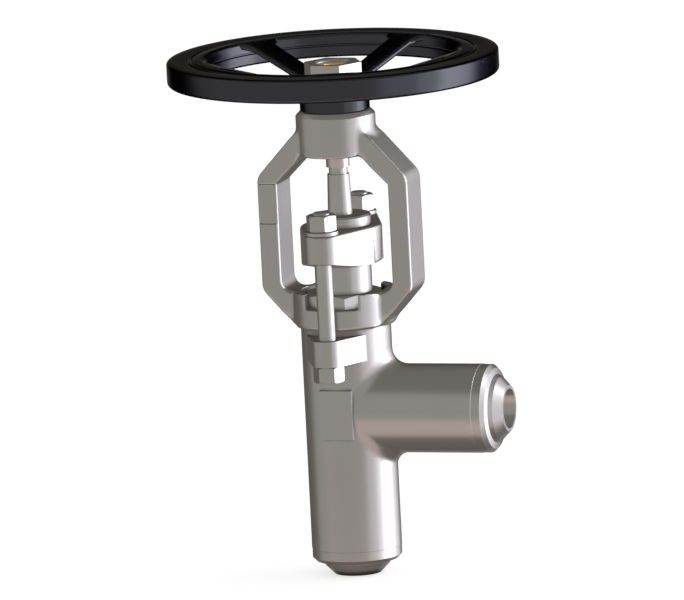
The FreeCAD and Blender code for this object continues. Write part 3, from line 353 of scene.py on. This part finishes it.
def add_piece(name, shape, node, smooth_below):
    """Makes the object that stands for a solid, shaded smooth except along edges sharper than the angle."""
    mesh = bpy.data.meshes.new(name)
    shape.to_mesh(mesh)
    shape.free()
    mesh.shade_smooth()
    mesh.set_sharp_from_angle(angle=math.radians(smooth_below))
    mesh.materials.append(SLOT_FINISH[SLOT_OF[node]])
    piece = bpy.data.objects.new(name, mesh)
    bpy.context.scene.collection.objects.link(piece)
    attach(piece, BODY_OF[node])
    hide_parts(node)
    mesh.calc_loop_triangles()
    print(name, len(mesh.loop_triangles), "triangles")
    return piece


# %% [markdown]
# The yoke is one forging: its arms run into the ring and the head in soft hollows. A voxel remesh turns
# the joined copy into an even net of small squares, and each point goes back onto the solid's surface.
# Smoothing the net only near the roots of the arms wears those corners down into hollows, and a few
# strokes over the whole soften every other edge a little.

# %% Net for the yoke
YOKE_NET = 1.1 * MM
RING_RADIUS, HEAD_RADIUS = 46.0 * MM, 35.4 * MM
CREASE_ANGLE, CREASE_REACH, ARM_START = math.radians(15), 0.4 * MM, 20 * MM
ROOT_STROKES = ((9 * MM, 12), (6 * MM, 20), (3.5 * MM, 12))
ROOT_FACTOR = 0.5
WHOLE_STROKES, WHOLE_FACTOR = 2, 0.4


def on_crease(point):
    """Whether a point lies where an arm meets the ring or the head."""
    out = point.xy.length
    return min(abs(out - RING_RADIUS), abs(out - HEAD_RADIUS)) < CREASE_REACH and abs(point.x) > ARM_START


def root_points(shape):
    """Points along the creases where the arms meet the ring and the head."""
    points = []
    for edge in shape.edges:
        if len(edge.link_faces) != 2 or edge.is_convex or edge.calc_face_angle() < CREASE_ANGLE:
            continue
        ends = [vert.co for vert in edge.verts]
        if all(on_crease(end) for end in ends):
            steps = max(1, math.ceil(edge.calc_length() / MM))
            points += [ends[0].lerp(ends[1], step / steps) for step in range(steps + 1)]
    return points


def even_net(shape, cell):
    """The shape remeshed into squares of one size."""
    mesh = bpy.data.meshes.new("net")
    shape.to_mesh(mesh)
    carrier = bpy.data.objects.new("net", mesh)
    bpy.context.scene.collection.objects.link(carrier)
    remesh = carrier.modifiers.new("net", "REMESH")
    remesh.mode = "VOXEL"
    remesh.voxel_size = cell
    result = bpy.data.meshes.new_from_object(carrier.evaluated_get(bpy.context.evaluated_depsgraph_get()))
    bpy.data.objects.remove(carrier)
    net = bmesh.new()
    net.from_mesh(result)
    bpy.data.meshes.remove(result)
    return net


def rub(net, verts, strokes, factor):
    for _ in range(strokes):
        bmesh.ops.smooth_vert(net, verts=verts, factor=factor,
                              use_axis_x=True, use_axis_y=True, use_axis_z=True)


def rounded_roots():
    """The yoke as an even net, worn down at the roots of its arms."""
    shape = joined_copy("yoke")
    points = root_points(shape)
    roots = KDTree(len(points))
    for index, point in enumerate(points):
        roots.insert(point, index)
    roots.balance()
    net = even_net(shape, YOKE_NET)
    surface = BVHTree.FromBMesh(shape)
    shape.free()
    for vert in net.verts:
        vert.co = surface.find_nearest(vert.co)[0]
    for reach, strokes in ROOT_STROKES:
        rub(net, [vert for vert in net.verts if roots.find(vert.co)[2] < reach], strokes, ROOT_FACTOR)
    rub(net, net.verts[:], WHOLE_STROKES, WHOLE_FACTOR)
    print("yoke roots", len(points), "points")
    return net


yoke_net = rounded_roots()

# %% [markdown]
# Two fine lines are scored across the left arm. A groove is made by cutting the net along three levels and
# pressing the middle one in. The bores of the yoke get a near-black steel as a second material: painted
# shade.

# %% Yoke
ARM_INNER = 51.6 * MM
ARM_LINES = (316.3 * MM, 351.4 * MM)
LINE_WIDTH, LINE_DEPTH = 1.3 * MM, 1.1 * MM
LINE_SIDES = 0.3
SLOT_FLOOR, RING_TOP, HEAD_FLOOR = 242.0 * MM, 255.4 * MM, 376.5 * MM
BORE_MARGIN, SLOT_START, HEAD_WALL = 0.8 * MM, 30 * MM, 4 * MM
INWARD, SIDEWAYS = -0.5, 0.6
YOKE_SMOOTH = 50


def score_line(net, height):
    """A fine groove across the outside and the front of the left arm."""
    half = LINE_WIDTH / 2
    for level in (height - half, height, height + half):
        faces = [face for face in net.faces if face.calc_center_median().x < -ARM_INNER]
        region = list({item for face in faces for item in (*face.verts, *face.edges, face)})
        bmesh.ops.bisect_plane(net, geom=region, plane_co=(0, 0, level), plane_no=(0, 0, 1),
                               dist=0.0001 * MM)
    net.normal_update()
    bottom = [vert for vert in net.verts
              if vert.co.x < -ARM_INNER - MM and abs(vert.co.z - height) < 0.001 * MM
              and vert.normal.x < LINE_SIDES]
    for vert in bottom:
        vert.co -= vert.normal * LINE_DEPTH
    print("line at", round(height / MM, 1), "mm:", len(bottom), "points pressed in")


def paint_bore_shade(net):
    """The threaded bore of the ring, the sides of its slots and the bearing pocket get painted shade, a
    near-black steel.
    """
    count = 0
    for face in net.faces:
        middle, normal = face.calc_center_median(), face.normal
        out = middle.xy.length
        inward = normal.xy.dot(middle.xy) < INWARD * out
        in_ring = middle.z < RING_TOP - BORE_MARGIN and out < RING_RADIUS - BORE_MARGIN
        in_pocket = middle.z > HEAD_FLOOR and out < HEAD_RADIUS - HEAD_WALL
        slot_side = (in_ring and middle.z > SLOT_FLOOR and abs(normal.x) > SIDEWAYS
                     and abs(middle.y) > SLOT_START)
        if slot_side or (inward and (in_ring or in_pocket)):
            face.material_index = 1
            count += 1
    print("bore faces", count)


for line_height in ARM_LINES:
    score_line(yoke_net, line_height)
paint_bore_shade(yoke_net)
yoke = add_piece("forged_yoke", yoke_net, "yoke", YOKE_SMOOTH)
yoke.data.materials.append(BORE_SHADE_STEEL)

# %% [markdown]
# The stem is turned on a lathe, and so is its piece here: half of the outline is drawn as a line of points
# beside the axis, its corners are rounded, and one full spin sweeps it round.

# %% Turned stem
STEM_POINTS = (
    (0, 127.9), (7.0, 127.9), (7.0, 139.9), (11.0, 139.9), (11.0, 322.3), (9.8, 358.4), (8.3, 358.4),
    (8.3, 364.6), (10.4, 364.6), (10.4, 442.5), (8.9, 444.0), (0, 444.0))
STEM_CORNER = 0.35 * MM
STEM_SEGMENTS = 96
TURNED_SMOOTH = 40


def in_mm(points):
    return [(radius * MM, height * MM) for radius, height in points]


def drawn(shape, points, closed=False):
    """A line through (radius, height) points beside the axis."""
    line = [shape.verts.new((radius, 0, height)) for radius, height in points]
    for first, second in zip(line, line[1:] + line[:1] if closed else line[1:]):
        shape.edges.new((first, second))
    return line


def spun(shape, segments):
    bmesh.ops.spin(shape, geom=shape.verts[:] + shape.edges[:], cent=(0, 0, 0), axis=(0, 0, 1),
                   dvec=(0, 0, 0), angle=math.tau, steps=segments, use_merge=True)


def turned(points, segments, soft=0.0, middle=(0, 0, 0)):
    """Spins an outline that starts and ends on the axis, and moves it to its middle."""
    shape = bmesh.new()
    corners = drawn(shape, points)[1:-1]
    if soft:
        bmesh.ops.bevel(shape, geom=corners, offset=soft, offset_type="OFFSET", segments=2, profile=0.5,
                        affect="VERTICES", material=-1, clamp_overlap=True)
    spun(shape, segments)
    bmesh.ops.remove_doubles(shape, verts=shape.verts, dist=0.005 * MM)
    bmesh.ops.recalc_face_normals(shape, faces=shape.faces)
    bmesh.ops.translate(shape, verts=shape.verts, vec=middle)
    return shape


add_piece("turned_stem", turned(in_mm(STEM_POINTS), STEM_SEGMENTS, STEM_CORNER), "stem", TURNED_SMOOTH)

# %% [markdown]
# The rim and the hub of the handwheel are rings, spun from closed outlines. The rim's outline has a big
# rounding inside, a narrow ridge on top and a shallow groove round the inner face. Its numbers, and
# those of the spokes below, are millimetres from the wheel's axis and above the foot of the valve.

# %% Rim and hub
RIM_INNER, RIM_FOOT, RIM_TOP = 112.5, 444.5, 465.8
RIM_ROUNDING = 3.6
RIM_SEGMENTS, HUB_SEGMENTS = 256, 96


def arc(middle, radius, start, end, steps=5):
    """Points on an arc, from one angle to another in degrees."""
    angles = [math.radians(start + (end - start) * step / steps) for step in range(steps + 1)]
    return [(middle[0] + radius * math.cos(angle), middle[1] + radius * math.sin(angle)) for angle in angles]


RIM_OUTLINE = (
    [(115.0, RIM_FOOT), (143.0, RIM_FOOT)]
    + arc((143.6, 447.9), 3.4, -80, 0)
    + arc((144.6, 462.6), 2.4, 0, 80)
    + [(140.0, 465.1), (128.0, 464.7), (127.1, 465.7), (126.1, 465.7), (125.2, 464.7), (123.6, 464.9),
       (121.0, 465.6)]
    + arc((116.1, RIM_TOP - RIM_ROUNDING), RIM_ROUNDING, 90, 180, 7)
    + [(RIM_INNER, 456.6), (114.2, 455.8), (114.2, 455.0), (RIM_INNER, 454.2), (RIM_INNER, 446.5)])
HUB_OUTLINE = [(15.1, 416.3), (30.4, 416.3), (31.0, 416.9), (31.0, 441.2), (30.2, 442.0), (15.1, 442.0)]


def closed_ring(points, segments):
    """Spins a closed outline into a ring."""
    shape = bmesh.new()
    drawn(shape, in_mm(points), closed=True)
    spun(shape, segments)
    bmesh.ops.recalc_face_normals(shape, faces=shape.faces)
    return shape


wheel_parts = [closed_ring(RIM_OUTLINE, RIM_SEGMENTS), closed_ring(HUB_OUTLINE, HUB_SEGMENTS)]
print("rim and hub", [len(part.faces) for part in wheel_parts], "faces")

# %% [markdown]
# Five spokes rise from the hub to the rim, flat on top with a rounded belly. A spoke starts as its
# cross-section, which is extruded outwards station by station and widened where it runs into the rim, so
# that the corners of the windows come out round.

# %% Handwheel
SPOKE_COUNT, WINDOW_CORNER = 5, 14.0
SPOKE_SECTION = (
    (-3.0, 0.0), (-1.5, -0.35), (-0.4, -1.3), (0.0, -2.6), (-0.3, -3.8), (-1.8, -5.3), (-5.0, -6.2))
SPOKE_REACHES = (22, 31, 60, 90, 98.5, 101, 103, 105, 107, 108.8, 110.2, 111.4, 112.2, 112.5, 116, 120)
SPOKE_HALF, SPOKE_SPREAD = 11.4, 0.018
HUB_EDGE, HUB_LEVEL, SPOKE_CLIMB = 31, 442.0, 0.295
SPOKE_HIGHEST = RIM_TOP - 0.15
WHEEL_SMOOTH = 32


def spoke_place(reach):
    """Half width and top of a spoke at a distance from the wheel's axis, with a rounded window corner."""
    half = SPOKE_HALF + SPOKE_SPREAD * reach
    into = min(max(reach - (RIM_INNER - WINDOW_CORNER), 0), WINDOW_CORNER)
    half += WINDOW_CORNER - math.sqrt(WINDOW_CORNER ** 2 - into ** 2)
    return half, min(HUB_LEVEL + SPOKE_CLIMB * max(reach - HUB_EDGE, 0), SPOKE_HIGHEST)


def spoke(heading):
    shape = bmesh.new()
    start = SPOKE_REACHES[0]
    half, top = spoke_place(start)
    right = [(half + across, top + up) for across, up in SPOKE_SECTION]
    section = right + [(-across, up) for across, up in reversed(right)]
    face = shape.faces.new([shape.verts.new((start * MM, y * MM, z * MM)) for y, z in section])
    for last, reach in zip(SPOKE_REACHES, SPOKE_REACHES[1:]):
        made = bmesh.ops.extrude_face_region(shape, geom=[face])["geom"]
        face = next(item for item in made if isinstance(item, bmesh.types.BMFace))
        old, now = spoke_place(last), spoke_place(reach)
        bmesh.ops.translate(shape, verts=face.verts, vec=((reach - last) * MM, 0, (now[1] - old[1]) * MM))
        bmesh.ops.scale(shape, verts=face.verts, vec=(1, now[0] / old[0], 1))
    bmesh.ops.recalc_face_normals(shape, faces=shape.faces)
    bmesh.ops.rotate(shape, verts=shape.verts, cent=(0, 0, 0), matrix=Matrix.Rotation(heading, 3, "Z"))
    return shape


def joined(shapes):
    """Several shapes in one mesh."""
    whole = shapes[0]
    for other in shapes[1:]:
        mesh = bpy.data.meshes.new("part")
        other.to_mesh(mesh)
        other.free()
        whole.from_mesh(mesh)
        bpy.data.meshes.remove(mesh)
    return whole


wheel_parts += [spoke(math.tau * index / SPOKE_COUNT) for index in range(SPOKE_COUNT)]
add_piece("cast_handwheel", joined(wheel_parts), "handwheel", WHEEL_SMOOTH)

# %% [markdown]
# The gland studs have rolled threads at both ends and a slightly thinner shank between them. They are spun
# as the stem is. Rings of teeth stand for the thread, because a spin doesn't climb as a real thread does.

# %% Gland studs
STUD_OFFSET, STUD_SEGMENTS = 54.8, 48
STUD_BOTTOM, STUD_TOP = 180.5, 333.3
STUD_RADIUS, SHANK_RADIUS = 8.0, 7.7
THREAD_PITCH, THREAD_DEPTH = 2.0, 0.9
TOOTH_START, TOOTH_END, TOOTH_VALLEY = 0.3, 0.6, 1.4
LOWER_THREAD, UPPER_THREAD = (1.5, 18), (-22, -3.0)
LOWER_END = ((0, 0), (6.8, 0), (STUD_RADIUS, 1.2))
LOWER_SHOULDER = ((STUD_RADIUS, 19), (STUD_RADIUS, 22), (SHANK_RADIUS, 22.4))
UPPER_SHOULDER = ((SHANK_RADIUS, -24), (STUD_RADIUS, -23.4))
UPPER_END = ((STUD_RADIUS, -2.4), (7.6, -1.4), (6.2, -0.4), (4.0, 0), (0, 0))


def thread_teeth(start, end):
    """Outline points of a row of thread teeth from start up to end."""
    points = []
    for tooth in range(int((end - start) / THREAD_PITCH)):
        foot = start + tooth * THREAD_PITCH
        points += [(STUD_RADIUS, foot + TOOTH_START), (STUD_RADIUS, foot + TOOTH_END),
                   (STUD_RADIUS - THREAD_DEPTH, foot + TOOTH_VALLEY)]
    return points


def from_level(level, points):
    return [(radius, level + height) for radius, height in points]


def stud(side):
    """One stud, with its lower half given from its bottom and its upper half from its top."""
    outline = (from_level(STUD_BOTTOM, LOWER_END)
               + thread_teeth(*(STUD_BOTTOM + height for height in LOWER_THREAD))
               + from_level(STUD_BOTTOM, LOWER_SHOULDER) + from_level(STUD_TOP, UPPER_SHOULDER)
               + thread_teeth(*(STUD_TOP + height for height in UPPER_THREAD))
               + from_level(STUD_TOP, UPPER_END))
    return turned(in_mm(outline), STUD_SEGMENTS, middle=(0, side * STUD_OFFSET * MM, 0))


add_piece("threaded_studs", joined([stud(-1), stud(1)]), "gland_studs", TURNED_SMOOTH)

# %% [markdown]
# Six pressed graphite rings seal the stem. They are soft: when the gland is drawn down on its studs, the
# stack is squeezed from the top by three millimetres. Here the stack is spun at its full height.

# %% Packing rings
PACKING_FOOT, PACKING_TOP, PACKING_COUNT, PACKING_TRAVEL = 226.0, 265.0, 6, 3.05
PACKING_BORE, PACKING_OUTER, PACKING_EDGE = 11.3, 17.4, 0.4
PACKING_SEGMENTS = 96
RING_HEIGHT = (PACKING_TOP - PACKING_FOOT) / PACKING_COUNT


def packing_ring(foot):
    top = foot + RING_HEIGHT
    inner, outer, edge = PACKING_BORE, PACKING_OUTER, PACKING_EDGE
    return closed_ring([
        (inner + edge, foot), (outer - edge, foot), (outer, foot + edge), (outer, top - edge),
        (outer - edge, top), (inner + edge, top), (inner, top - edge), (inner, foot + edge)],
        PACKING_SEGMENTS)


packing_stack = joined([packing_ring(PACKING_FOOT + RING_HEIGHT * index) for index in range(PACKING_COUNT)])
packing = add_piece("pressed_packing", packing_stack, "packing_rings", TURNED_SMOOTH)
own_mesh(packing)

# %% [markdown]
# The floor is a plain pale sheet. What the camera sees of it is white, apart from the soft shadow, because
# part of its colour is its own and part is lamp light. It isn't mirrored in the metal: the cards below
# give the steel its reflections.

# %% Floor and background
FLOOR_HALF, FLOOR_DROP = 6.0, -0.0005
FLOOR_COLOUR, FLOOR_ROUGHNESS = (0.8, 0.8, 0.8, 1), 0.9
FLOOR_OWN_LIGHT = 0.66
WHITE = (1, 1, 1, 1)
WORLD_LIGHT, WORLD_SEEN = 0.45, 1.0


def is_seen(tree):
    """1 for rays that show a background: from the camera, from gloss and through glass."""
    rays = tree.nodes.new("ShaderNodeLightPath")
    total = rays.outputs["Is Camera Ray"]
    for name in ("Is Glossy Ray", "Is Transmission Ray"):
        add = tree.nodes.new("ShaderNodeMath")
        add.operation = "ADD"
        add.use_clamp = True
        tree.links.new(total, add.inputs[0])
        tree.links.new(rays.outputs[name], add.inputs[1])
        total = add.outputs[0]
    return total


def make_floor():
    mesh = bpy.data.meshes.new("floor")
    shape = bmesh.new()
    bmesh.ops.create_grid(shape, x_segments=1, y_segments=1, size=FLOOR_HALF)
    shape.to_mesh(mesh)
    shape.free()
    floor = bpy.data.objects.new("floor", mesh)
    floor.location.z = FLOOR_DROP
    floor.visible_glossy = False
    bpy.context.scene.collection.objects.link(floor)
    finish = Finish("pale_floor")
    finish.fill(finish.shader, {
        "Base Color": FLOOR_COLOUR, "Roughness": FLOOR_ROUGHNESS, "Emission Color": WHITE,
        "Specular IOR Level": 0.0,
        "Emission Strength": Field(finish, is_seen(finish.tree)) * FLOOR_OWN_LIGHT})
    mesh.materials.append(finish.material)
    floor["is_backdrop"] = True


def make_world():
    world = bpy.data.worlds.new("studio")
    world.use_nodes = True
    bpy.context.scene.world = world
    tree = world.node_tree
    background = tree.nodes["Background"]
    background.inputs["Color"].default_value = WHITE
    strength = tree.nodes.new("ShaderNodeMapRange")
    strength.inputs["To Min"].default_value = WORLD_LIGHT
    strength.inputs["To Max"].default_value = WORLD_SEEN
    tree.links.new(is_seen(tree), strength.inputs["Value"])
    tree.links.new(strength.outputs["Result"], background.inputs["Strength"])


make_floor()
make_world()
print("floor", 2 * FLOOR_HALF, "m wide, world light", WORLD_LIGHT)

# %% [markdown]
# One soft box at the right lights the object. The look of the steel comes from what it mirrors, so cards
# stand round the object that only reflections see: three bright ones at the right, one behind the other,
# give the white band along every cylinder with its soft edges. Dark screens stand at the left, behind and
# overhead, and two low cards stand for the floor. The pieces themselves aren't mirrored in each other.

# %% Lamps and screens
STAGE_MIDDLE = Vector((0, 0, 0.25))
CARDS = (
    ("right_core", 112, 0, 2.2, 1.3, 3.4, (6.8, 6.8, 7.6, 1)),
    ("right_middle", 115, 0, 2.5, 3.8, 3.6, (3.1, 3.1, 3.45, 1)),
    ("right_card", 111, 0, 2.8, 10.1, 4.0, (1.85, 1.85, 2.05, 1)),
    ("left_screen", -118, 0, 2.0, 2.0, 3.0, (0.50, 0.46, 0.42, 1)),
    ("back_screen", 208, 2, 2.3, 4.0, 2.6, (0.27, 0.25, 0.225, 1)),
    ("high_back_screen", 195, 40, 2.5, 3.2, 1.6, (0.5, 0.48, 0.45, 1)),
    ("top_screen", 0, 88, 1.8, 3.4, 3.4, (0.55, 0.54, 0.525, 1)),
    ("front_floor_card", 0, -50, 1.6, 4.0, 1.5, (1.6, 1.37, 1.31, 1)),
    ("under_screen", 180, -84, 1.5, 3.0, 2.2, (0.5, 0.45, 0.43, 1)),
)


def stand(thing, azimuth, elevation, distance):
    """Puts a lamp or card at that direction in degrees from the object, and turns it to face the object."""
    out = direction(math.radians(azimuth), math.radians(elevation))
    thing.location = out * distance + STAGE_MIDDLE
    thing.rotation_mode = "QUATERNION"
    thing.rotation_quaternion = (STAGE_MIDDLE - thing.location).to_track_quat("-Z", "Y")
    bpy.context.scene.collection.objects.link(thing)


def soft_box(name, azimuth, elevation, distance, width, height, radiance, colour):
    data = bpy.data.lights.new(name, "AREA")
    data.shape = "RECTANGLE"
    data.size, data.size_y = width, height
    data.energy = radiance * math.pi * width * height
    data.color = colour
    lamp = bpy.data.objects.new(name, data)
    lamp.visible_camera = lamp.visible_glossy = False
    stand(lamp, azimuth, elevation, distance)
    print(name, round(data.energy, 1), "W")


def screen(name, azimuth, elevation, distance, width, height, tone):
    mesh = bpy.data.meshes.new(name)
    shape = bmesh.new()
    bmesh.ops.create_grid(shape, x_segments=1, y_segments=1, size=0.5)
    bmesh.ops.scale(shape, vec=(width, height, 1), verts=shape.verts)
    shape.to_mesh(mesh)
    shape.free()
    card = bpy.data.objects.new(name, mesh)
    card.visible_camera = card.visible_diffuse = card.visible_shadow = False
    stand(card, azimuth, elevation, distance)
    cloth = Finish(name, "ShaderNodeEmission")
    cloth.fill(cloth.shader, {"Color": tone, "Strength": 1.0})
    mesh.materials.append(cloth.material)
    card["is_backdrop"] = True


soft_box("right_soft_box", 105, 20, 2.4, 2.4, 1.6, 1.0, (0.96, 0.96, 1.0))
for card in CARDS:
    screen(*card)

pieces = [thing for thing in bpy.data.objects if thing.type == "MESH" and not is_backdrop(thing)]
for piece in pieces:
    piece.visible_glossy = False
print(len(CARDS), "cards,", len(pieces), "pieces")

# %% [markdown]
# The Standard view shows a colour as it is written.

# %% Picture settings
bpy.context.scene.view_settings.view_transform = "Standard"
